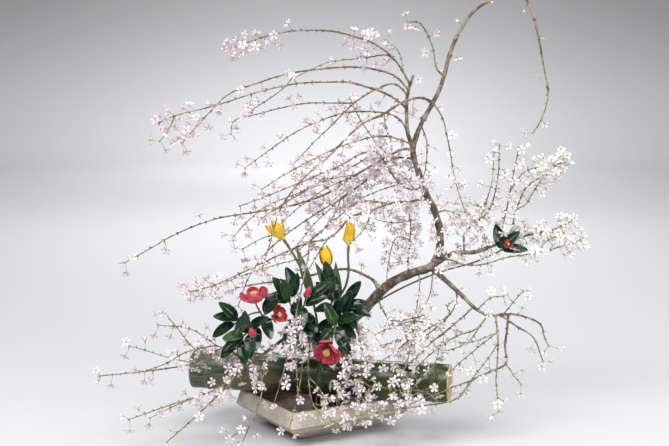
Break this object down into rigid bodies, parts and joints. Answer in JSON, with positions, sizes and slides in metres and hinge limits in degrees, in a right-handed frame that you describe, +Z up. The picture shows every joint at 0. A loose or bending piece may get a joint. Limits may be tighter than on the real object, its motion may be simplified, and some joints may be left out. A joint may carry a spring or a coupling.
{
  "type": "ikebana arrangement",
  "caption": "Flower arrangement of weeping cherry, camellias and tulips standing on a needle holder in a low stoneware bowl, with green bamboo laid across its rim.",
  "frame": {"origin": "centre of the bowl's flat underside, on the surface that it stands on", "axes": "+Z up, +X to the right as seen from the front, -Y towards the viewer"},
  "size_m": [1.0838, 0.4171, 0.9653],
  "materials": {
    "glaze": "pale buff-grey glaze, finely crackled, brown inside",
    "water": "still dark water",
    "kenzan": "dull grey metal with bright needles",
    "bamboo": "glossy dark green skin with olive-brown mottling, tan cut ends",
    "bark": "grey-brown cherry bark with level lenticel bands",
    "blossom": "soft pale pink-white petals",
    "camellia_leaf": "waxy dark green with a pale rib",
    "camellia_petal": "soft satin crimson",
    "stamen": "pale yellow filaments with golden tips",
    "tulip_petal": "satin yellow",
    "tulip_leaf": "matt grey-green"
  },
  "bodies": {
    "root": {"bowl": "glaze", "water": "water", "kenzan": "kenzan", "bamboo": "bamboo", "cherry_limb": "bark", "low_branch": "blossom", "camellia_left_stem": "camellia_leaf", "camellia_left_petals": "camellia_petal", "camellia_left_stamens": "stamen", "camellia_left_bud": "camellia_petal", "camellia_middle_stem": "camellia_leaf", "camellia_middle_petals": "camellia_petal", "camellia_middle_stamens": "stamen", "camellia_middle_bud": "camellia_petal", "camellia_front_stem": "camellia_leaf", "camellia_front_petals": "camellia_petal", "camellia_front_stamens": "stamen", "camellia_right_stem": "camellia_leaf", "camellia_right_petals": "camellia_petal", "camellia_right_stamens": "stamen", "tulip_tall_stem": "tulip_leaf", "tulip_tall_petals": "tulip_petal", "tulip_middle_stem": "tulip_leaf", "tulip_middle_petals": "tulip_petal", "tulip_left_stem": "tulip_leaf", "tulip_left_petals": "tulip_petal", "spray_top_left": "blossom", "spray_back_left": "blossom", "spray_far_left": "blossom", "spray_top": "blossom", "spray_long_front": "blossom", "spray_upper_left": "blossom", "spray_mid_back": "blossom", "spray_mid_front": "blossom", "spray_long_left": "blossom", "spray_centre": "blossom", "spray_heart": "blossom", "spray_heart_back": "blossom", "spray_dark_lateral": "blossom", "spray_low_arc": "blossom", "spray_upright": "blossom", "spray_inner_right": "blossom", "spray_right_tall": "blossom", "spray_right_fan": "blossom", "spray_right_white": "blossom", "spray_right_low": "blossom", "spray_fall_inner": "blossom", "spray_fall_middle": "blossom", "spray_fall_front": "blossom", "spray_fall_right": "blossom", "spray_low_right": "blossom", "spray_low_left_back": "blossom", "spray_low_left": "blossom", "spray_front_left": "blossom", "spray_front_tip": "blossom"}
  },
  "joints": []
}
